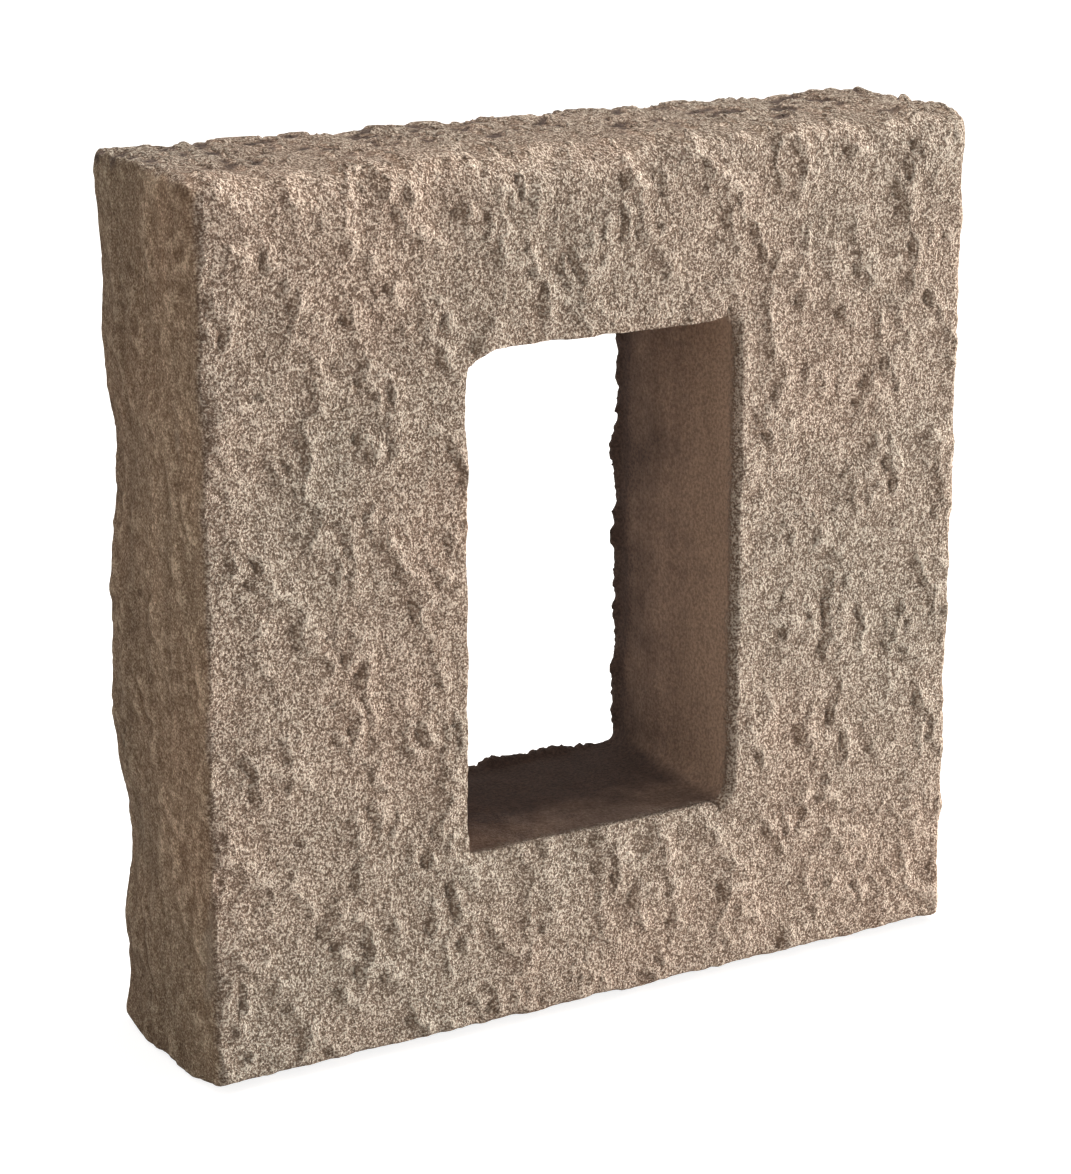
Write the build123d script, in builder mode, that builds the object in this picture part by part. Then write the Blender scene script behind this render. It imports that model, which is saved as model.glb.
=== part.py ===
"""Stone veneer receptacle block: one cast concrete piece, a square block with a rectangular opening.

The block is set into a stone veneer wall around a single electrical box. Its face is cast
against a rubber mould of hewn stone, so its rim is chipped, its four outer sides swell
slightly in the middle of their depth, and its back is struck off flat. A core forms the opening.

Millimetres. +Z is up, the hewn face looks along -Y and the flat back along +Y. The origin
is at the middle of the base.
"""

import os
from math import asin, atan2, degrees, radians, tan

from build123d import *

# Overall size
width = 203.2
height = 203.2
depth = 50.8

# Outer sides: a level band round the middle of the depth, falling away to the face and the back
face_slope_depth = 13.0
back_slope_depth = 11.0
face_inset = 1.4
back_inset = 1.1
corner_radius = 3.0
face_arris_radius = 1.2
back_arris_radius = 1.6

# Opening: cored from the face and sized to a single cover plate, with its own clearance at the face
plate_width = 69.85
plate_height = 114.3
plate_clearance = 0.5
core_draft = 1.0
low_right_corner_radius = 5.0
top_right_corner_radius = 3.0
top_left_fill_across = 5.5
top_left_fill_down = 3.2
mouth_flare = 0.8

# Thin ragged lip of concrete left round the opening where the back was struck off
lip_depth = 2.6
lip_overhang = 1.4
lip_bite_width = 8.0
lip_bites_across = [(-0.72, 0.9), (-0.27, 0.6), (0.21, 1.1), (0.66, 0.7)]
lip_bites_up = [(-0.80, 0.8), (-0.49, 1.1), (-0.20, 0.6), (0.11, 1.0), (0.45, 0.7), (0.74, 1.1)]

# Bites out of the rim of the face: place as a share of the half side, then length and depth
top_face_chips = [
    (-0.87, 34, 2.6),
    (-0.56, 30, 1.5),
    (-0.09, 62, 4.4),
    (0.40, 30, 1.4),
    (0.66, 22, 1.8),
    (0.90, 24, 2.2),
]
bottom_face_chips = [
    (-0.91, 18, 1.6),
    (-0.61, 30, 1.0),
    (-0.24, 34, 1.3),
    (0.20, 34, 0.9),
    (0.57, 28, 1.4),
    (0.90, 20, 1.8),
]
left_face_chips = [(0.88, 26, 1.9), (0.45, 34, 0.9), (0.02, 28, 1.1), (-0.39, 30, 0.9), (-0.76, 26, 1.2)]
right_face_chips = [(0.86, 26, 1.5), (0.40, 38, 0.9), (-0.03, 30, 1.1), (-0.41, 24, 1.2), (-0.81, 26, 1.4)]

# Hollows out of the rim of the back, where the edge of the mould was uneven
top_back_hollows = [(-0.63, 44, 2.0), (-0.06, 50, 1.6), (0.44, 34, 1.8), (0.86, 26, 2.4)]
bottom_back_hollows = [(-0.61, 40, 1.6), (0.0, 50, 1.4), (0.61, 44, 2.0)]
left_back_hollows = [(0.74, 30, 1.4), (0.31, 58, 3.8), (-0.55, 46, 4.0), (-0.87, 22, 2.6)]
right_back_hollows = [(0.58, 44, 2.0), (0.03, 46, 1.6), (-0.53, 40, 2.6)]

# Bites out of the two ends of the top: side, place as a share of the half depth, length and depth
top_end_bites = [(-1, -0.55, 40, 2.4), (1, 0.30, 38, 1.8)]

# Gouges hewn across the top: shares of the half sides, length, depth and turn in degrees
gouge_cutter_radius = 7.5
top_gouges = [(-0.66, 0.05, 46, 2.1, 9), (0.03, 0.32, 46, 1.8, 5), (0.60, 0.02, 44, 2.2, -10)]

# Nicks struck into the top and the face: shares of the half sides, length, width, depth and turn
nick_reach = 30.0
top_nicks = [
    (-0.86, -0.45, 20, 5.0, 1.8, 8),
    (-0.50, 0.45, 26, 4.0, 1.6, -6),
    (-0.38, -0.20, 30, 6.5, 2.4, 4),
    (-0.16, 0.60, 18, 4.0, 1.4, 12),
    (0.20, -0.30, 24, 5.0, 1.8, -8),
    (0.34, 0.50, 22, 4.5, 1.6, 6),
    (0.74, 0.55, 18, 4.0, 1.4, -10),
    (0.84, -0.40, 20, 5.5, 2.0, 10),
]
face_nicks = [
    (-0.94, 0.36, 17, 5.0, 1.6, -80),
    (-0.76, 0.52, 18, 4.5, 1.4, -62),
    (-0.86, -0.02, 21, 5.5, 1.7, -75),
    (-0.58, 0.16, 14, 4.5, 1.3, -66),
    (-0.70, -0.46, 19, 5.0, 1.5, -70),
    (-0.40, -0.82, 20, 5.0, 1.5, -64),
    (-0.36, 0.86, 18, 5.0, 1.6, -58),
    (0.06, -0.80, 16, 4.5, 1.4, -76),
    (0.16, 0.82, 15, 4.5, 1.4, -72),
    (0.50, 0.46, 20, 5.0, 1.5, -66),
    (0.80, 0.68, 18, 5.0, 1.5, -74),
    (0.88, -0.08, 21, 5.5, 1.7, -80),
    (0.62, -0.34, 16, 4.5, 1.4, -62),
    (0.54, -0.76, 19, 5.0, 1.5, -70),
]

opening_width = plate_width + 2 * plate_clearance
opening_height = plate_height + 2 * plate_clearance
core_inset = depth * tan(radians(core_draft))
middle = height / 2


def section(distance):
    """The upright plane that lies this far behind the face, with its origin at the block's middle."""
    return Plane((0, distance - depth / 2, middle), x_dir=(1, 0, 0), z_dir=(0, -1, 0))


def bite(point, outward, length, bite_depth):
    """A shallow round bite out of an arris, deepest at the point."""
    radius = (length**2 / 4 + bite_depth**2) / (2 * bite_depth)
    centre = Vector(*point) + Vector(*outward).normalized() * (radius - bite_depth)
    with Locations(centre):
        Sphere(radius, mode=Mode.SUBTRACT)


def gouge(surface, along, across, length, gouge_depth, turn):
    """A long gouge hewn out of a surface, as the edge of a round-nosed wheel leaves it."""
    wheel_radius = (length**2 / 4 + gouge_depth**2) / (2 * gouge_depth)
    with Locations(surface.location * Location((along, across, wheel_radius - gouge_depth), (0, 0, turn))):
        Torus(
            wheel_radius - gouge_cutter_radius,
            gouge_cutter_radius,
            rotation=(90, 0, 0),
            mode=Mode.SUBTRACT,
        )


def nick(surface, along, across, length, nick_width, nick_depth, turn):
    """A three-sided nick, deepest at one end: a shallow slope, a steep side and a steep end."""
    pitch = degrees(asin(nick_depth / length))
    roll = degrees(atan2(nick_depth, nick_width))
    deepest = surface.location * Location((along, across, -nick_depth), (0, 0, turn))
    with Locations(deepest * Location((0, 0, 0), (0, -pitch, 0)) * Location((0, 0, 0), (roll, 0, 0))):
        Box(
            length + nick_reach,
            nick_reach,
            nick_reach,
            align=(Align.MIN, Align.MIN, Align.MIN),
            mode=Mode.SUBTRACT,
        )


with BuildPart() as veneer_block:
    # Level band, then the slopes from it to the face and to the back
    with BuildSketch(section(face_slope_depth)) as band_outline:
        RectangleRounded(width, height, corner_radius)
    extrude(amount=-(depth - face_slope_depth - back_slope_depth))
    extrude(band_outline.sketch, amount=face_slope_depth, taper=degrees(atan2(face_inset, face_slope_depth)))
    with BuildSketch(section(depth - back_slope_depth)):
        RectangleRounded(width, height, corner_radius)
    extrude(amount=-back_slope_depth, taper=degrees(atan2(back_inset, back_slope_depth)))

    # Worn arrises round the face and the back
    fillet(veneer_block.faces().sort_by(Axis.Y)[0].edges(), face_arris_radius)
    fillet(veneer_block.faces().sort_by(Axis.Y)[-1].edges(), back_arris_radius)

    # Opening, narrowing towards the back as far as the lip
    half_width = opening_width / 2
    half_height = opening_height / 2
    with BuildSketch(section(0)) as core_mouth:
        Rectangle(opening_width, opening_height)
        with Locations((-half_width, half_height)):
            Polygon(
                (0, 0),
                (top_left_fill_across, 0),
                (0, -top_left_fill_down),
                align=None,
                mode=Mode.SUBTRACT,
            )
        low_right_corner = core_mouth.vertices().sort_by_distance((half_width, -half_height))[0]
        fillet(low_right_corner, low_right_corner_radius)
        top_right_corner = core_mouth.vertices().sort_by_distance((half_width, half_height))[0]
        fillet(top_right_corner, top_right_corner_radius)
    extrude(amount=-(depth - lip_depth), taper=core_draft, mode=Mode.SUBTRACT)

    # Worn mouth, flaring to the face
    with BuildSketch(section(0)):
        add(core_mouth.sketch_local)
        offset(amount=mouth_flare, kind=Kind.INTERSECTION)
    extrude(amount=-mouth_flare, taper=45, mode=Mode.SUBTRACT)

    # Ragged mouth through the lip
    lip_half_width = half_width - core_inset - lip_overhang
    lip_half_height = half_height - core_inset - lip_overhang
    bite_spread = lip_bite_width**2 / 4
    with BuildSketch(section(depth)):
        Rectangle(2 * lip_half_width, 2 * lip_half_height)
        for share, bite_depth in lip_bites_across:
            radius = (bite_spread + bite_depth**2) / (2 * bite_depth)
            reach = lip_half_height + bite_depth - radius
            along = share * lip_half_width
            with Locations((along, reach), (-along, -reach)):
                Circle(radius)
        for share, bite_depth in lip_bites_up:
            radius = (bite_spread + bite_depth**2) / (2 * bite_depth)
            reach = lip_half_width + bite_depth - radius
            along = share * lip_half_height
            with Locations((reach, along), (-reach, -along)):
                Circle(radius)
    extrude(amount=2 * lip_depth, mode=Mode.SUBTRACT)

    # Bites out of the rim of the face
    front = -depth / 2
    face_half_width = width / 2 - face_inset
    face_half_height = height / 2 - face_inset
    for share, length, bite_depth in top_face_chips:
        bite((share * width / 2, front, middle + face_half_height), (0, -1, 1), length, bite_depth)
    for share, length, bite_depth in bottom_face_chips:
        bite((share * width / 2, front, middle - face_half_height), (0, -1, -1), length, bite_depth)
    for share, length, bite_depth in left_face_chips:
        bite((-face_half_width, front, middle + share * height / 2), (-1, -1, 0), length, bite_depth)
    for share, length, bite_depth in right_face_chips:
        bite((face_half_width, front, middle + share * height / 2), (1, -1, 0), length, bite_depth)

    # Hollows out of the rim of the back
    rear = depth / 2
    back_half_width = width / 2 - back_inset
    back_half_height = height / 2 - back_inset
    for share, length, bite_depth in top_back_hollows:
        bite((share * width / 2, rear, middle + back_half_height), (0, 1, 1), length, bite_depth)
    for share, length, bite_depth in bottom_back_hollows:
        bite((share * width / 2, rear, middle - back_half_height), (0, 1, -1), length, bite_depth)
    for share, length, bite_depth in left_back_hollows:
        bite((-back_half_width, rear, middle + share * height / 2), (-1, 1, 0), length, bite_depth)
    for share, length, bite_depth in right_back_hollows:
        bite((back_half_width, rear, middle + share * height / 2), (1, 1, 0), length, bite_depth)

    # Bites out of the ends of the top
    for side, share, length, bite_depth in top_end_bites:
        bite((side * width / 2, share * depth / 2, height), (side, 0, 1), length, bite_depth)

    # Gouges and nicks across the top, and nicks down the face
    top = Plane((0, 0, height), x_dir=(1, 0, 0), z_dir=(0, 0, 1))
    for along, across, length, gouge_depth, turn in top_gouges:
        gouge(top, along * width / 2, across * depth / 2, length, gouge_depth, turn)
    for along, across, length, nick_width, nick_depth, turn in top_nicks:
        nick(top, along * width / 2, across * depth / 2, length, nick_width, nick_depth, turn)
    for along, rise, length, nick_width, nick_depth, turn in face_nicks:
        nick(section(0), along * width / 2, rise * height / 2, length, nick_width, nick_depth, turn)

veneer_block.part.label = "veneer_block"
os.makedirs("parts", exist_ok=True)
export_step(veneer_block.part, "parts/veneer_block.step")
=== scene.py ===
import math

import bpy
import numpy as np
from mathutils import Matrix, Vector


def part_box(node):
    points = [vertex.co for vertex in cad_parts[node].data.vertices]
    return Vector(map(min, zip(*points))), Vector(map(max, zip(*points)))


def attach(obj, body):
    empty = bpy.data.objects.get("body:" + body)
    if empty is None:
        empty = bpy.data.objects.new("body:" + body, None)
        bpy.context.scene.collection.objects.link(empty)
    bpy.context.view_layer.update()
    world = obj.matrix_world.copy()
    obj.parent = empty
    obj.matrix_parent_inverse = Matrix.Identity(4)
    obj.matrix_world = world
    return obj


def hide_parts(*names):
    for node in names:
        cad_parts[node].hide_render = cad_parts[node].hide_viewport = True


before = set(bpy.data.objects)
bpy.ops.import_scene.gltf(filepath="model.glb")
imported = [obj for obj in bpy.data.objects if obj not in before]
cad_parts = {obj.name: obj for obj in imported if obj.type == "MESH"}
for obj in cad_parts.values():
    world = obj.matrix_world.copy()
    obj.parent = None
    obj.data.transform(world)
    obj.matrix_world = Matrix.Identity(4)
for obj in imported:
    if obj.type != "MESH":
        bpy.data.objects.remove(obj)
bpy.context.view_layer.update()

# The block's own sizes, in millimetres, from the frame
low, high = (np.array(corner) * 1000 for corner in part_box("veneer_block"))
half_width = (high[0] - low[0]) / 2
half_depth = (high[1] - low[1]) / 2
height = high[2]
MM = 0.001

# Outer sides: how far each falls away at the face and at the back, and over what depth
face_slope_depth = 13.0
back_slope_depth = 11.0
face_inset = 1.4
back_inset = 1.1
fall_power = 1.3

# Opening
opening_half_width = 35.425
opening_half_height = 57.65
opening_middle = height / 2
core_draft = math.tan(math.radians(1.0))
lip_depth = 2.6
lip_most = 2.8
corner_fill_across = 5.5
corner_fill_down = 3.2
corner_fill_rise = 0.5

# Grid that the stone's form is worked out on, and the mesh made from it
grid_step = 0.6
grid_margin = 2
triangle_budget = 196000


def grid_line(lowest, highest):
    """Evenly spaced places along one axis, a little past both ends."""
    count = int(round((highest - lowest) / grid_step)) + 2 * grid_margin
    return lowest + (np.arange(count) - grid_margin + 0.5) * grid_step


along = grid_line(-half_width, half_width).astype(np.float32)
deep = grid_line(-half_depth, half_depth).astype(np.float32)
up = grid_line(0, height).astype(np.float32)
X = along[:, None, None]
Y = deep[None, :, None]
Z = up[None, None, :]
grid_origin = np.array([along[0], deep[0], up[0]])


# Noise that the reliefs are made of

def ease(value):
    """0 up to 0, 1 from 1 on, and smooth between."""
    value = np.clip(value, 0, 1)
    return value * value * (3 - 2 * value)


def fade(value, start, length):
    """0 up to the start, 1 from one length further on, and smooth between."""
    return ease((value - start) / length)


def axes_turned(turn):
    """Cosine and sine of a turn in degrees."""
    return math.cos(math.radians(turn)), math.sin(math.radians(turn))


def band(first, second, wavelength, seed, stretch=1.0, turn=0.0, spread=0.6):
    """Random relief of one wavelength, mean 0 and deviation 1, drawn out along a turn in degrees."""
    shape = (len(first), len(second))
    first_rate = np.fft.fftfreq(shape[0], grid_step)[:, None]
    second_rate = np.fft.rfftfreq(shape[1], grid_step)[None, :]
    cosine, sine = axes_turned(turn)
    lengthwise = (first_rate * cosine + second_rate * sine) * stretch
    crosswise = second_rate * cosine - first_rate * sine
    rate = np.maximum(np.hypot(lengthwise, crosswise) * wavelength, 1e-6)
    gain = np.exp(-0.5 * (np.log(rate) / spread) ** 2)
    white = np.random.default_rng(seed).standard_normal(shape)
    relief = np.fft.irfft2(np.fft.rfft2(white) * gain, s=shape)
    return (relief - relief.mean()) / relief.std()


def soften(relief, radius):
    """The relief blurred over a radius in mm, with its edges carried on."""
    border = int(3 * radius / grid_step) + 1
    padded = np.pad(relief, border, mode="edge")
    first_rate = np.fft.fftfreq(padded.shape[0], grid_step)[:, None]
    second_rate = np.fft.rfftfreq(padded.shape[1], grid_step)[None, :]
    gain = np.exp(-2 * (math.pi * radius) ** 2 * (first_rate**2 + second_rate**2))
    blurred = np.fft.irfft2(np.fft.rfft2(padded) * gain, s=padded.shape)
    return blurred[border:-border, border:-border]


def facets(first, second, size, seed, stretch, turn, tilt, lift):
    """Hewn facets: cells of a wavering pattern, each a small plane with its own tilt and height."""
    cell_count = 64
    waver_share = 0.25
    middle_scatter = 0.45
    table = np.random.default_rng(seed).uniform(-1, 1, (cell_count, cell_count, 5))
    cosine, sine = axes_turned(turn)
    waver = size * waver_share
    wavers = [
        waver * band(first, second, size, seed + 1 + part)
        + waver / 3 * band(first, second, size / 3, seed + 3 + part)
        for part in (0, 1)
    ]
    wavered_first = first[:, None] + wavers[0]
    wavered_second = second[None, :] + wavers[1]
    lengthwise = (wavered_first * cosine + wavered_second * sine) / stretch
    crosswise = wavered_second * cosine - wavered_first * sine
    spot = np.stack([lengthwise, crosswise], -1) / size
    cell = np.floor(spot).astype(int)
    nearest = np.full(spot.shape[:2], np.inf)
    result = np.zeros(spot.shape[:2])
    for step in ((a, b) for a in (-1, 0, 1) for b in (-1, 0, 1)):
        at = cell + step
        draw = table[at[..., 0] % cell_count, at[..., 1] % cell_count]
        offset = spot - at - 0.5 - middle_scatter * draw[..., :2]
        distance = (offset**2).sum(-1)
        across_first = (offset[..., 0] * stretch * cosine - offset[..., 1] * sine) * size
        across_second = (offset[..., 0] * stretch * sine + offset[..., 1] * cosine) * size
        plane = lift * draw[..., 2] + tilt * draw[..., 3] * across_first
        plane += tilt * draw[..., 4] * across_second
        closer = distance < nearest
        nearest[closer] = distance[closer]
        result[closer] = plane[closer]
    return result


def ridges(first, second, wavelength, seed, stretch=1.0, turn=0.0):
    """Thin crests on a flatter ground, mean 0 and deviation 1."""
    ground = -1.2
    relief = -np.abs(band(first, second, 2 * wavelength, seed, stretch, turn, spread=0.75))
    relief = np.maximum(relief, ground)
    return (relief - relief.mean()) / relief.std()


def scarps(first, second, period, seed, turn, steep, presence=0.0):
    """Steps from 0 to 1 that climb over the steep share of a period and fall away over the rest.

    They run along a turn in degrees, wander, and come and go, more often there with more presence.
    """
    wander, waver, middling, patchiness = 0.50, 0.16, 0.45, 0.6
    cosine, sine = axes_turned(turn)
    phase = (first[:, None] * cosine + second[None, :] * sine) / period
    phase += wander * band(first, second, 2.2 * period, seed, 1.6, turn + 90)
    phase += waver * band(first, second, 0.8 * period, seed + 1)
    part = phase - np.floor(phase)
    wave = np.where(part < steep, part / steep, (1 - part) / (1 - steep))
    patches = band(first, second, 1.6 * period, seed + 2, 1.5, turn + 90)
    return wave * ease(middling + presence + patchiness * patches)


# Reliefs of the outer sides

def hewn(first, second, seed, turn, depth=1.0, grit=1.0):
    """Relief of a hewn stone surface, in mm, before it is set below the outer plane."""
    ledge_height, step_height, swell_height, ridge_height, crumb_height = 1.25, 0.26, 0.12, 0.050, 0.055
    ledges = scarps(first, second, 15.0, seed, turn, steep=0.30, presence=-0.04)
    steps = scarps(first, second, 6.0, seed + 5, turn + 14, steep=0.34)
    planes = facets(first, second, 12.0, seed + 10, stretch=1.5, turn=turn + 60, tilt=0.025, lift=0.05)
    swell = band(first, second, 34, seed + 20)
    coarse = soften(ledge_height * ledges + step_height * steps + planes, 0.6)
    relief = depth * (coarse + swell_height * swell)
    for wavelength, draw, stretch in ((4.4, 30, 1.5), (2.4, 40, 1.2)):
        relief += grit * ridge_height * ridges(first, second, wavelength, seed + draw, stretch, turn + 90)
    relief += grit * crumb_height * band(first, second, 1.5, seed + 50)
    return relief


def rough_hewn(first, second, seed, turn):
    """Relief of the more deeply hewn top, in narrow ledges."""
    ledge_height, step_height, swell_height, ridge_height, crumb_height = 1.45, 0.5, 0.28, 0.06, 0.06
    ledges = scarps(first, second, 12.0, seed, turn, steep=0.12, presence=0.15)
    steps = scarps(first, second, 5.5, seed + 5, turn + 25, steep=0.2, presence=0.05)
    planes = facets(first, second, 9.0, seed + 10, stretch=2.2, turn=turn, tilt=0.05, lift=0.16)
    swell = band(first, second, 40, seed + 20)
    coarse = soften(ledge_height * ledges + step_height * steps + planes, 0.25)
    relief = coarse + swell_height * swell
    relief += ridge_height * ridges(first, second, 2.8, seed + 30, stretch=1.4, turn=turn + 90)
    relief += crumb_height * band(first, second, 1.5, seed + 40)
    return relief


def sunk(relief, share=99.6):
    """The relief as a depth below the outer plane, which only its highest lumps reach."""
    return np.maximum(np.percentile(relief, share) - relief, 0).astype(np.float32)


def hollows(line, places):
    """Rounded hollows along one line: each has its middle, its half length and its depth."""
    return sum(depth * np.exp(-(((line - middle) / half) ** 2)) for middle, half, depth in places)


def calm_strip():
    """Share of the face's relief left at each place: little on the strip right of the opening."""
    calmed, fade_length, past_ends = 0.75, 5, 4
    beside_opening = ease(1 - (along - opening_half_width - 1) / fade_length)
    beside_opening = beside_opening * (along > opening_half_width - 2)
    level_with_opening = fade(opening_half_height + past_ends - np.abs(up - opening_middle), 0, fade_length)
    return 1 - calmed * beside_opening[:, None] * level_with_opening[None, :]


def painted_lee_shadows():
    """0 to 1 over the top: 1 where a painted shadow falls, in the hollows on the lee of its lumps for light
    from the right.
    """
    lee_slope = 0.15
    dark_from, dark_over = 0.10, 0.32
    clear_of_face = fade(deep, -19, 10)[None, :]
    ground = -soften(top_relief, 0.4) - along[:, None] * lee_slope
    lee = np.maximum.accumulate(ground[::-1], axis=0)[::-1] - ground
    return fade(soften(lee, 0.3), dark_from, dark_over) * clear_of_face


# Hollows along the back rim of the left and the right side: height of the middle, half length, depth
left_back_hollows = ((176, 14, 1.0), (133, 20, 3.2), (98, 8, 0.6), (46, 17, 3.6), (14, 10, 2.0))
right_back_hollows = ((160, 22, 1.6), (104, 20, 1.2), (50, 22, 2.0))

toward_back = fade(deep, -4, half_depth + 4)[:, None]
face_relief = (sunk(hewn(along, up, 100, 18.0)) * calm_strip()).astype(np.float32)
top_relief = sunk(rough_hewn(along, deep, 200, -12.0), 95.0)
# Painted shadow: where the top's lumps would cast shade in light from the right
top_painted_shadows = painted_lee_shadows()
left_relief = sunk(hewn(deep, up, 300, 160.0, 0.6, 0.6)) + toward_back * hollows(up, left_back_hollows)
right_relief = sunk(hewn(deep, up, 400, 10.0, 0.7, 0.7)) + toward_back * hollows(up, right_back_hollows)
bottom_relief = sunk(hewn(along, deep, 500, 10.0, 0.6, 0.5))
back_relief = sunk(hewn(along, up, 600, 30.0, 0.3, 0.4))


# The stone's form, as a field that is negative inside

def cut(form, other, softness):
    """What lies in both forms, with the arris between them rounded."""
    overlap = np.clip(1 - np.abs(form - other) / softness, 0, 1)
    return np.maximum(form, other) + overlap * overlap * softness / 4


def fall_line():
    """How far the four outer sides lie inside the nominal block, along the depth."""
    to_face = np.clip((-half_depth + face_slope_depth - deep) / face_slope_depth, 0, 1)
    to_back = np.clip((deep - half_depth + back_slope_depth) / back_slope_depth, 0, 1)
    return (face_inset * to_face**fall_power + back_inset * to_back**fall_power).astype(np.float32)


fall = fall_line()

# Bites out of the rims: place as a share of the half side, then length and depth
top_face_bites = (
    (-0.87, 34, 2.4), (-0.55, 26, 1.4), (-0.12, 56, 5.0), (0.16, 30, 3.2), (0.40, 30, 1.6), (0.66, 22, 2.2),
    (0.90, 24, 2.4),
)
bottom_face_bites = (
    (-0.82, 18, 1.1), (-0.61, 24, 1.2), (-0.40, 16, 1.0), (-0.24, 26, 1.4), (-0.02, 16, 1.0),
    (0.20, 28, 1.3), (0.40, 14, 1.0), (0.57, 22, 1.5), (0.76, 16, 1.1), (0.90, 20, 1.8),
)
left_face_bites = (
    (0.88, 26, 2.2), (0.66, 18, 1.3), (0.45, 24, 1.5), (0.24, 14, 1.2), (0.02, 22, 1.6), (-0.20, 16, 1.2),
    (-0.39, 24, 1.4), (-0.60, 14, 1.1), (-0.76, 22, 1.6), (-0.94, 14, 1.6),
)
right_face_bites = (
    (0.86, 26, 1.6), (0.62, 16, 1.1), (0.40, 30, 1.1), (0.16, 16, 1.0), (-0.03, 26, 1.3), (-0.24, 14, 1.0),
    (-0.41, 24, 1.3), (-0.62, 16, 1.1), (-0.81, 24, 1.5),
)
top_back_bites = ((-0.63, 40, 1.0), (-0.06, 44, 0.8), (0.44, 30, 0.9), (0.90, 26, 2.0))

# Each bitten rim: its bites, its middle, half of it as a step, and the way out of the block there
half_across = (half_width, 0, 0)
half_up = (0, 0, height / 2)
rims = (
    (top_face_bites, (0, -half_depth, height - face_inset), half_across, (0, -1, 1)),
    (bottom_face_bites, (0, -half_depth, face_inset), half_across, (0, -1, -1)),
    (left_face_bites, (-half_width + face_inset, -half_depth, opening_middle), half_up, (-1, -1, 0)),
    (right_face_bites, (half_width - face_inset, -half_depth, opening_middle), half_up, (1, -1, 0)),
    (top_back_bites, (0, half_depth, height - back_inset), half_across, (0, 1, 1)),
)

# Bites out of the top's two end rims and its corners: which end, place as a share of the half depth,
# how far the way out turns to the face or the back, length and depth
top_end_bites = (
    (-1, -0.55, 0, 40, 3.0), (-1, 0.35, 0, 26, 1.0), (1, 0.30, 0, 38, 1.5),
    (-1, -1, -1, 34, 3.4), (-1, 1, 1, 26, 3.4), (1, 1, 1, 20, 1.4),
)


def bite(form, point, outward, length, depth):
    """Takes a shallow bite out of the form, deepest at the point, rough as the top and the face are."""
    rough_share, softness = 0.7, 0.8
    radius = (length**2 / 4 + depth**2) / (2 * depth)
    toward = np.array(outward) / np.linalg.norm(outward)
    centre = np.array(point) + toward * (radius - depth)
    reach = length / 2 + 4
    x_near, y_near, z_near = (
        slice(*np.searchsorted(line, (middle - reach, middle + reach)))
        for line, middle in zip((along, deep, up), point)
    )
    distance = np.sqrt(
        (X[x_near] - centre[0]) ** 2 + (Y[:, y_near] - centre[1]) ** 2 + (Z[..., z_near] - centre[2]) ** 2
    )
    rough = 0.5 * top_relief[x_near, y_near][:, :, None] + 0.5 * face_relief[x_near, z_near][:, None, :]
    bitten = radius - distance + rough_share * (rough - rough.mean())
    form[x_near, y_near, z_near] = cut(form[x_near, y_near, z_near], bitten, softness)


def outer_sides():
    """The six rough outer sides, each as a field."""
    inset = fall[None, :, None]
    return {
        "face": -half_depth - Y + face_relief[:, None, :],
        "back": Y - half_depth + back_relief[:, None, :],
        "left": -half_width - X + inset + left_relief[None, :, :],
        "right": X - half_width + inset + right_relief[None, :, :],
        "top": Z - height + inset + top_relief[:, :, None],
        "bottom": -Z + inset + bottom_relief[:, :, None],
    }


def block_field():
    """The outer form: six rough sides with rounded arrises and bitten rims."""
    left_shoulder, right_shoulder_less = 7.5, 4.0
    sides = outer_sides()
    shoulder = left_shoulder - right_shoulder_less * fade(X, -20, 70)
    form = cut(sides["face"], sides["top"], shoulder)
    for name, softness in (("left", 0.9), ("right", 1.3), ("bottom", 1.4), ("back", 1.6)):
        form = cut(form, sides[name], softness)
    for bites, middle, half_rim, outward in rims:
        for share, length, depth in bites:
            bite(form, np.array(middle) + share * np.array(half_rim), outward, length, depth)
    for end, share, turned, length, depth in top_end_bites:
        point = (end * half_width, share * half_depth, height)
        bite(form, point, (end, turned, 1), length, depth)
    return form


def lip(first, second, seed):
    """How far the ragged lip at the back of the opening stands in, in mm."""
    least, swell_height, ridge_height, tooth_height, crumb_height = 0.75, 0.55, 0.22, 0.8, 0.12
    upright = first is deep
    rise = fade(deep - half_depth + lip_depth, -1.2, 1.4)
    rise = rise[:, None] if upright else rise[None, :]
    turn = 90.0 if upright else 0.0
    ragged = least + swell_height * band(first, second, 26, seed, spread=0.8)
    ragged += ridge_height * ridges(first, second, 5.0, seed + 1)
    ragged += tooth_height * scarps(first, second, 13.0, seed + 2, turn, steep=0.15, presence=0.1)
    ragged += crumb_height * band(first, second, 2.0, seed + 5, spread=0.8)
    return rise * np.clip(ragged, 0, lip_most)


def opening_side(first, second, wave_heights, seed, lip_seed):
    """Waves and lip of one wall of the opening, in mm."""
    swell_height, ripple_height = wave_heights
    waves = swell_height * band(first, second, 20, seed) + ripple_height * band(first, second, 3, seed + 1)
    return waves + lip(first, second, lip_seed)


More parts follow.
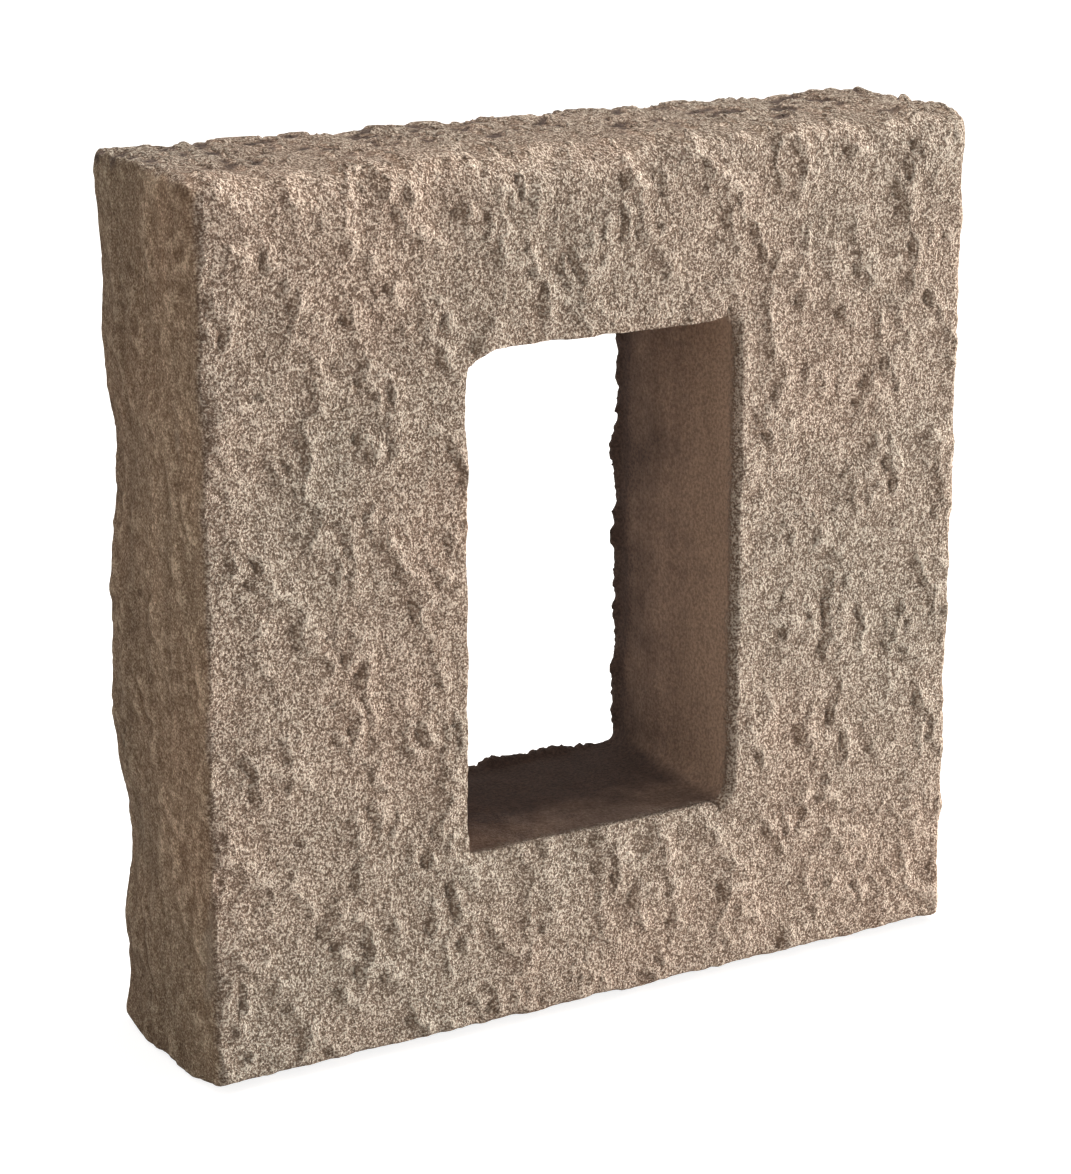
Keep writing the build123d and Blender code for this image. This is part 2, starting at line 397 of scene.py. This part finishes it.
def opening_field():
    """The opening, negative within it: four tapered walls, one corner filled and the right ones rounded."""
    upright_waves, level_waves = (0.12, 0.04), (0.10, 0.03)
    draft = ((deep + half_depth) * core_draft)[None, :, None]
    left = opening_side(deep, up, upright_waves, 700, 800)[None, :, :]
    right = opening_side(deep, up, upright_waves, 710, 801)[None, :, :]
    floor = opening_side(along, deep, level_waves, 720, 810)[:, :, None]
    ceiling = opening_side(along, deep, level_waves, 730, 811)[:, :, None]
    fill = (
        (Z - opening_middle - opening_half_height) * corner_fill_across
        - (X + opening_half_width - corner_fill_across) * corner_fill_down
    ) / math.hypot(corner_fill_across, corner_fill_down) + corner_fill_rise
    arris_softness = 0.8
    corner_softness = 5.9 - 2.4 * fade(Z, opening_middle, 20)
    opening = -X - opening_half_width + draft + left
    opening = cut(opening, Z - opening_middle - opening_half_height + draft + ceiling, arris_softness)
    opening = cut(opening, fill, arris_softness)
    opening = cut(opening, opening_middle - opening_half_height - Z + draft + floor, arris_softness)
    return cut(opening, X - opening_half_width + draft + right, corner_softness)


def stone_field():
    """The whole stone. The opening's mouth is sharp on the left and rounded on the right."""
    mouth_softness = 0.6 + 1.9 * fade(X - opening_half_width, -8, 6)
    return cut(block_field(), -opening_field(), mouth_softness).astype(np.float32)


# From the field to a mesh

def surface(field):
    """Corners and four-sided faces of the surface where the field is 0.

    Each cell that the surface passes through gets one corner, at the mean of its crossings, and each
    grid edge that it crosses gets one face, between the four cells round that edge.
    """
    inside = field < 0
    cells = tuple(n - 1 for n in field.shape)
    strides = np.array([cells[1] * cells[2], cells[2], 1])
    ids, places, quads = [], [], []
    for axis in range(3):
        front = [slice(None)] * 3
        behind = [slice(None)] * 3
        front[axis] = slice(0, -1)
        behind[axis] = slice(1, None)
        at = np.argwhere(inside[tuple(front)] != inside[tuple(behind)])
        others = [a for a in range(3) if a != axis]
        at = at[np.all((at[:, others] > 0) & (at[:, others] < np.array(cells)[others]), axis=1)]
        ahead = at.copy()
        ahead[:, axis] += 1
        near = field[tuple(at.T)]
        far = field[tuple(ahead.T)]
        place = at.astype(np.float64)
        place[:, axis] += near / (near - far)
        first, second = (axis + 1) % 3, (axis + 2) % 3
        corners = []
        for shift_first, shift_second in ((0, 0), (-1, 0), (-1, -1), (0, -1)):
            cell = at.copy()
            cell[:, first] += shift_first
            cell[:, second] += shift_second
            corners.append(cell @ strides)
        corners = np.stack(corners, 1)
        quads.append(np.where((near < 0)[:, None], corners, corners[:, ::-1]))
        ids.append(corners.ravel())
        places.append(np.repeat(place, 4, axis=0))
    used, index = np.unique(np.concatenate(ids), return_inverse=True)
    count = np.bincount(index)
    points = np.concatenate(places)
    points = np.stack([np.bincount(index, points[:, a]) / count for a in range(3)], 1)
    faces = np.searchsorted(used, np.concatenate(quads))
    return grid_origin + points * grid_step, faces


def new_mesh(name, points, faces):
    """A mesh of four-sided faces, from points in mm."""
    mesh = bpy.data.meshes.new(name)
    mesh.vertices.add(len(points))
    mesh.vertices.foreach_set("co", (points * MM).astype(np.float32).ravel())
    mesh.loops.add(faces.size)
    mesh.loops.foreach_set("vertex_index", faces.astype(np.int32).ravel())
    mesh.polygons.add(len(faces))
    mesh.polygons.foreach_set("loop_start", np.arange(0, faces.size, 4, dtype=np.int32))
    mesh.update(calc_edges=True)
    return mesh


def mesh_points(mesh):
    """Places of the mesh's corners, in metres."""
    places = np.zeros(len(mesh.vertices) * 3, np.float32)
    mesh.vertices.foreach_get("co", places)
    return places.reshape(-1, 3)


def add_block():
    """The stone as one closed mesh, thinned to its budget of triangles and held in the solid's box."""
    points, faces = surface(stone_field())
    block = bpy.data.objects.new("hewn_block", new_mesh("hewn_block", np.clip(points, low, high), faces))
    bpy.context.scene.collection.objects.link(block)
    thinning = block.modifiers.new("thinning", "DECIMATE")
    thinning.ratio = triangle_budget / (2 * len(faces))
    depsgraph = bpy.context.evaluated_depsgraph_get()
    thinned = bpy.data.meshes.new_from_object(block.evaluated_get(depsgraph))
    block.modifiers.clear()
    block.data = thinned
    kept = np.clip(mesh_points(thinned), low * MM, high * MM)
    thinned.vertices.foreach_set("co", kept.astype(np.float32).ravel())
    thinned.update()
    thinned.name = "hewn_block"
    thinned.shade_smooth()
    return block


# What the material reads at each corner of the mesh

# Outer sides: share of the full grain, how much slopes facing away from the key lie smooth and in painted
# shade, how brown (partly painted shade), and how much painted shade darkens the back half
side_traits = {
    "face": (1.0, 1.0, 0.0, 0.0),
    "back": (0.45, 0.0, 0.8, 0.0),
    "left": (0.7, 0.0, 1.0, 1.0),
    "right": (0.7, 0.0, 0.8, 0.6),
    "top": (1.0, 1.2, 0.1, 0.0),
    "bottom": (0.6, 0.0, 0.8, 0.4),
}
wall_grain = 0.16


def paint(mesh):
    """Writes what each corner of the mesh is like: its grain, its painted highlight and shade from the
    relief, how brown and how speckled (both partly painted shade), how far inside the opening or in the top's
    painted shadow, how much painted shade it takes in the opening, and how much on a side's back half."""
    side_blend = 0.35
    crest_width, slope_width = 1.6, 0.6
    grain_smoothed, away_slope_painted_shade = 0.6, 1.6
    spots = mesh_points(mesh) / MM
    limit = np.array([len(along), len(deep), len(up)]) - 1
    i, j, k = np.clip(np.rint((spots - grid_origin) / grid_step).astype(int), 0, limit).T
    x, y, z = spots.T
    inset = fall[j]
    over_top = z - height + inset
    sides = {
        "face": (face_relief, i, k, -half_depth - y),
        "back": (back_relief, i, k, y - half_depth),
        "left": (left_relief, j, k, -half_width - x + inset),
        "right": (right_relief, j, k, x - half_width + inset),
        "top": (top_relief, i, j, over_top),
        "bottom": (bottom_relief, i, j, inset - z),
    }
    grain, painted_relief_shading, brown, painted_back_shade, total = (np.zeros(len(x)) for _ in range(5))
    for name, (relief, a, b, over) in sides.items():
        grain_share, smooth_share, brown_share, back_shade_share = side_traits[name]
        weight = np.exp(np.clip(over + relief[a, b], -12, 2) / side_blend)
        # Painted highlight on crests and painted shade in hollows, from how far each place stands above its
        # surroundings
        rise = soften(relief, crest_width) - relief
        slope = -np.gradient(soften(relief, slope_width), grid_step, axis=0)
        # Slopes facing away from the key light: smoothed, and darkened as painted shade
        smooth_shaded_slope = fade(slope, 0.08, 0.2) * smooth_share
        grain += weight * grain_share * (1 - grain_smoothed * np.minimum(smooth_shaded_slope[a, b], 1))
        painted_relief_shading += weight * (rise / rise.std() - away_slope_painted_shade * smooth_shaded_slope)[a, b]
        brown += weight * brown_share
        # Painted shade: the back half of a side darker and greyer, as a side turning from the light
        painted_back_shade += weight * back_shade_share * fade(y, -2, 4)
        total += weight
    draft = (y + half_depth) * core_draft
    past_wall = np.abs(x) - opening_half_width + draft
    past_shelf = np.abs(z - opening_middle) - opening_half_height + draft
    inner = fade(-np.maximum(past_wall, past_shelf), -1.3, 1.0) * fade(y + half_depth, 1.2, 2.0)
    brown = brown / total
    # Painted shadow in the top's lee hollows, which takes the opening's darkest colour
    painted_lee_shadow = fade(over_top + top_relief[i, j], -2.5, 1.5) * top_painted_shadows[i, j]
    # Painted shade in the opening: darker towards its back, at its back rim and on its floor
    inward = fade(y, -half_depth, 2 * half_depth)
    at_lip = fade(y - half_depth, -9, 7)
    on_floor = fade(opening_middle - opening_half_height + 4 - z, 0, 5)
    written = {
        "grain": grain / total * (1 - inner) + inner * wall_grain,
        "painted_relief_shading": painted_relief_shading / total * (1 - inner),
        # How brown: the sides' browner skin, partly painted shade
        "brown": brown,
        # Share of the speckle, which is random tone and partly painted shade in the grain
        "speckle_and_shade_share": 1 - 0.5 * brown,
        # Inside the opening, or in the top's painted shadow
        "inner": np.maximum(inner, 0.92 * painted_lee_shadow),
        # Painted shade in the opening, and the top's painted shadow
        "painted_inner_shade": np.maximum(0.8 * inward + 0.38 * at_lip + 0.75 * on_floor, painted_lee_shadow),
        "painted_back_shade": painted_back_shade / total,
    }
    for name, values in written.items():
        mesh.attributes.new(name, "FLOAT", "POINT").data.foreach_set("value", values.astype(np.float32))


# Stone material

# Noise: scale, detail, roughness, and how much its scale counts along each axis
noise_layers = {
    "crumbs": (2000, 3.0, 0.60, (1, 1, 1)),
    "wrinkles": (820, 3.0, 0.62, (1, 1, 1)),
    "dust": (1300, 3.0, 0.60, (1, 1, 1)),
    "pits": (210, 2.0, 0.50, (1, 1, 1)),
    "streaks": (150, 4.0, 0.65, (1, 1, 0.12)),
    "damp": (70, 5.0, 0.65, (1, 1, 1)),
    "smears": (42, 4.0, 0.60, (1, 1, 0.35)),
    "tint": (16, 3.0, 0.55, (1, 1, 1)),
}
sand_scale = 1050

# Bump of the grain: how much each layer counts, and its full height in metres
sand_height = 0.20
crumb_height = 0.85
wrinkle_height = 0.9
bump_distance = 0.0032

# How much the layers speckle the colour, partly as painted shade in the grain's hollows, and how much paler a
# crest is than a hollow, as painted highlight and shade
crumb_speckle_and_shade = 1.05
wrinkle_speckle_and_shade = 0.45
painted_relief_shading_weight = 0.024

# Colour ramps: value and the colour there
stone_ramp = ((0.39, (0.195, 0.130, 0.089)), (0.50, (0.385, 0.282, 0.208)), (0.61, (0.80, 0.665, 0.535)))
# The wall's own brown, going over into painted shade towards its darkest stop
wall_ramp = ((0.0, (0.30, 0.20, 0.138)), (0.45, (0.24, 0.158, 0.112)), (0.95, (0.085, 0.055, 0.043)))
tint_ramp = ((0.35, (0.94, 0.97, 0.97)), (0.65, (1.05, 1.0, 0.98)))
streak_ramp = ((0.36, (0.84, 0.83, 0.82)), (0.64, (1.12, 1.12, 1.12)))
smear_ramp = ((0.66, (0, 0, 0)), (0.76, (0.5, 0.5, 0.5)))
pit_ramp = ((0.70, (1, 1, 1)), (0.76, (0.45, 0.42, 0.40)))
dust_ramp = ((0.35, (0.70, 0.70, 0.70)), (0.65, (1.3, 1.3, 1.3)))
# Tint of the browner sides, partly their own skin and partly painted shade
brown_and_painted_shade_tint = (1.0, 0.92, 0.80)
# Painted shade on the sides' back halves
back_shade_colour = (0.82, 0.81, 0.80)
smear_colour = (0.52, 0.44, 0.35)


def stone_material():
    """Rough cast stone: sandy speckled face and top with painted shade in the grain, browner sides partly in
    painted shade, and a smooth opening in painted shade that deepens towards its back and floor.
    """
    material = bpy.data.materials.new("cast_stone")
    material.use_nodes = True
    nodes, links = material.node_tree.nodes, material.node_tree.links
    shader = nodes["Principled BSDF"]
    shader.inputs["Roughness"].default_value = 0.92
    shader.inputs["Specular IOR Level"].default_value = 0.2
    place = nodes.new("ShaderNodeTexCoord")

    def feed(socket, value):
        if isinstance(value, (int, float)):
            socket.default_value = value
        elif isinstance(value, tuple):
            socket.default_value = (*value, 1)
        else:
            links.new(value, socket)

    def noise(name):
        scale, detail, roughness, stretch = noise_layers[name]
        node = nodes.new("ShaderNodeTexNoise")
        node.inputs["Scale"].default_value = scale
        node.inputs["Detail"].default_value = detail
        node.inputs["Roughness"].default_value = roughness
        drawn = nodes.new("ShaderNodeMapping")
        drawn.inputs["Scale"].default_value = stretch
        links.new(place.outputs["Object"], drawn.inputs["Vector"])
        links.new(drawn.outputs["Vector"], node.inputs["Vector"])
        return node.outputs["Fac"]

    def attribute(name):
        node = nodes.new("ShaderNodeAttribute")
        node.attribute_name = name
        return node.outputs["Fac"]

    def math_node(operation, first, second):
        node = nodes.new("ShaderNodeMath")
        node.operation = operation
        feed(node.inputs[0], first)
        feed(node.inputs[1], second)
        return node.outputs[0]

    def add(first, second):
        return math_node("ADD", first, second)

    def times(first, second):
        return math_node("MULTIPLY", first, second)

    def less(first, second):
        return math_node("SUBTRACT", first, second)

    def ramp(value, stops):
        node = nodes.new("ShaderNodeValToRGB")
        elements = node.color_ramp.elements
        while len(elements) < len(stops):
            elements.new(0.5)
        for element, (position, colour) in zip(elements, stops):
            element.position = position
            element.color = (*colour, 1)
        links.new(value, node.inputs["Fac"])
        return node.outputs["Color"]

    def blend(mode, factor, first, second):
        node = nodes.new("ShaderNodeMix")
        node.data_type = "RGBA"
        node.blend_type = mode
        feed(node.inputs["Factor"], factor)
        feed(node.inputs[6], first)
        feed(node.inputs[7], second)
        return node.outputs[2]

    sand = nodes.new("ShaderNodeTexVoronoi")
    sand.inputs["Scale"].default_value = sand_scale
    sand.inputs["Randomness"].default_value = 1.0
    links.new(place.outputs["Object"], sand.inputs["Vector"])
    grains = less(1.0, sand.outputs["Distance"])
    crumbs = noise("crumbs")
    wrinkles = noise("wrinkles")
    rough = add(add(times(grains, sand_height), times(crumbs, crumb_height)), times(wrinkles, wrinkle_height))
    bump = nodes.new("ShaderNodeBump")
    bump.inputs["Strength"].default_value = 1.0
    bump.inputs["Distance"].default_value = bump_distance
    links.new(times(rough, attribute("grain")), bump.inputs["Height"])
    links.new(bump.outputs["Normal"], shader.inputs["Normal"])

    # Speckle from the grain's bump layers: paler where the bump is high and darker in its hollows, painted
    # shade besides random tone
    mean_speckle_and_shade = (crumb_speckle_and_shade + wrinkle_speckle_and_shade) / 2
    speckle_and_grain_shade = less(add(times(crumbs, crumb_speckle_and_shade), times(wrinkles, wrinkle_speckle_and_shade)), mean_speckle_and_shade)
    # Painted highlight and shade from the relief
    level = add(times(speckle_and_grain_shade, attribute("speckle_and_shade_share")), times(attribute("painted_relief_shading"), painted_relief_shading_weight))
    streaks = ramp(noise("streaks"), streak_ramp)
    smears = times(ramp(noise("smears"), smear_ramp), attribute("brown"))
    colour = ramp(add(level, 0.5), stone_ramp)
    colour = blend("MULTIPLY", 1.0, colour, ramp(noise("tint"), tint_ramp))
    # Browner sides, partly painted shade
    colour = blend("MULTIPLY", attribute("brown"), colour, brown_and_painted_shade_tint)
    # Painted shade on the back halves of the sides
    colour = blend("MULTIPLY", attribute("painted_back_shade"), colour, back_shade_colour)
    colour = blend("MULTIPLY", attribute("brown"), colour, streaks)
    colour = blend("MIX", smears, colour, smear_colour)
    colour = blend("MULTIPLY", attribute("brown"), colour, ramp(noise("pits"), pit_ramp))

    # Painted shade inside the opening, with random damp mottling
    painted_inner_shade = add(attribute("painted_inner_shade"), times(less(noise("damp"), 0.5), 0.9))
    wall = blend("MULTIPLY", 1.0, ramp(painted_inner_shade, wall_ramp), ramp(noise("dust"), dust_ramp))
    wall = blend("MULTIPLY", 0.6, wall, streaks)
    links.new(blend("MIX", attribute("inner"), colour, wall), shader.inputs["Base Color"])
    return material


block = add_block()
paint(block.data)
block.data.materials.clear()
block.data.materials.append(stone_material())
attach(block, "root")
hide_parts("veneer_block")


# Camera, at the photograph's viewing angle, and the studio

photo_height = 1174
camera_turn = -31.6
camera_rise = 15.95
camera_roll = 0.1
camera_distance = 0.769
camera_focal_pixels = 3316.0
aim_right = -0.00272
aim_up = -0.00591
block_centre = Vector((0, 0, height * MM / 2))

# Softboxes: direction from the block, distance, width and level
softboxes = {
    "key": ((0.925, -0.35, -0.012), 1.8, 0.17, 2.35),
    "top_light": ((0.45, 0.0, 0.89), 1.8, 0.12, 1.35),
}
fill_direction = (-0.97, -0.2, 0.15)
fill_least = 0.10
fill_most = 1.14
floor_half_side = 3.0
floor_colour = (0.5, 0.48, 0.46)
floor_lift = 0.8


def add_camera():
    """The camera, turned and raised about the block's centre, with its aim moved across the view."""
    turn, rise, roll = (math.radians(a) for a in (camera_turn, camera_rise, camera_roll))
    back = Vector((math.sin(turn) * math.cos(rise), -math.cos(turn) * math.cos(rise), math.sin(rise)))
    right = (-back).cross(Vector((0, 0, 1))).normalized()
    upward = right.cross(-back)
    right, upward = (
        right * math.cos(roll) + upward * math.sin(roll),
        upward * math.cos(roll) - right * math.sin(roll),
    )
    place = block_centre + right * aim_right + upward * aim_up + back * camera_distance
    data = bpy.data.cameras.new("camera")
    data.sensor_width = 36.0
    data.lens = camera_focal_pixels * data.sensor_width / photo_height
    camera = bpy.data.objects.new("camera", data)
    camera.matrix_world = Matrix.Translation(place) @ Matrix((right, upward, back)).transposed().to_4x4()
    bpy.context.scene.collection.objects.link(camera)
    bpy.context.scene.camera = camera


def add_softbox(name, direction, distance, size, level):
    """A square softbox that lights a surface square to it at this level, 1 showing a colour as written."""
    toward = Vector(direction).normalized()
    data = bpy.data.lights.new(name, "AREA")
    data.size = size
    data.energy = level * math.pi**2 * distance**2
    lamp = bpy.data.objects.new(name, data)
    facing = toward.to_track_quat("Z", "Y").to_matrix().to_4x4()
    lamp.matrix_world = Matrix.Translation(block_centre + toward * distance) @ facing
    bpy.context.scene.collection.objects.link(lamp)


def add_world():
    """Soft light from all round, strongest from the left, and a white background."""
    world = bpy.data.worlds.new("studio")
    world.use_nodes = True
    nodes, links = world.node_tree.nodes, world.node_tree.links
    nodes.clear()
    direction = nodes.new("ShaderNodeTexCoord")
    facing = nodes.new("ShaderNodeVectorMath")
    facing.operation = "DOT_PRODUCT"
    facing.inputs[1].default_value = Vector(fill_direction).normalized()
    links.new(direction.outputs["Generated"], facing.inputs[0])
    level = nodes.new("ShaderNodeMapRange")
    level.inputs["From Min"].default_value = -1.0
    level.inputs["From Max"].default_value = 1.0
    level.inputs["To Min"].default_value = fill_least
    level.inputs["To Max"].default_value = fill_most
    links.new(facing.outputs["Value"], level.inputs["Value"])
    fill = nodes.new("ShaderNodeBackground")
    links.new(level.outputs["Result"], fill.inputs["Strength"])
    white = nodes.new("ShaderNodeBackground")
    white.inputs["Color"].default_value = (1, 1, 1, 1)
    white.inputs["Strength"].default_value = 1.0
    rays = nodes.new("ShaderNodeLightPath")
    seen = rays.outputs["Is Camera Ray"]
    for ray in ("Is Glossy Ray", "Is Transmission Ray"):
        either = nodes.new("ShaderNodeMath")
        either.operation = "MAXIMUM"
        links.new(seen, either.inputs[0])
        links.new(rays.outputs[ray], either.inputs[1])
        seen = either.outputs[0]
    mix = nodes.new("ShaderNodeMixShader")
    output = nodes.new("ShaderNodeOutputWorld")
    links.new(seen, mix.inputs["Fac"])
    links.new(fill.outputs["Background"], mix.inputs[1])
    links.new(white.outputs["Background"], mix.inputs[2])
    links.new(mix.outputs["Shader"], output.inputs["Surface"])
    bpy.context.scene.world = world


def add_floor():
    """A pale floor that keeps the block's shadow and is lifted to white for the camera."""
    side = floor_half_side
    corners = [(-side, -side, 0), (side, -side, 0), (side, side, 0), (-side, side, 0)]
    mesh = bpy.data.meshes.new("studio_floor")
    mesh.from_pydata(corners, [], [(0, 1, 2, 3)])
    floor = bpy.data.objects.new("studio_floor", mesh)
    bpy.context.scene.collection.objects.link(floor)
    material = bpy.data.materials.new("studio_floor")
    material.use_nodes = True
    nodes, links = material.node_tree.nodes, material.node_tree.links
    shader = nodes["Principled BSDF"]
    shader.inputs["Base Color"].default_value = (*floor_colour, 1)
    shader.inputs["Roughness"].default_value = 1.0
    shader.inputs["Specular IOR Level"].default_value = 0.0
    shader.inputs["Emission Color"].default_value = (1, 1, 1, 1)
    rays = nodes.new("ShaderNodeLightPath")
    lift = nodes.new("ShaderNodeMath")
    lift.operation = "MULTIPLY"
    lift.inputs[1].default_value = floor_lift
    links.new(rays.outputs["Is Camera Ray"], lift.inputs[0])
    links.new(lift.outputs[0], shader.inputs["Emission Strength"])
    mesh.materials.append(material)


add_camera()
for name, (direction, distance, size, level) in softboxes.items():
    add_softbox(name, direction, distance, size, level)
add_world()
add_floor()
bpy.context.scene.view_settings.view_transform = "Standard"
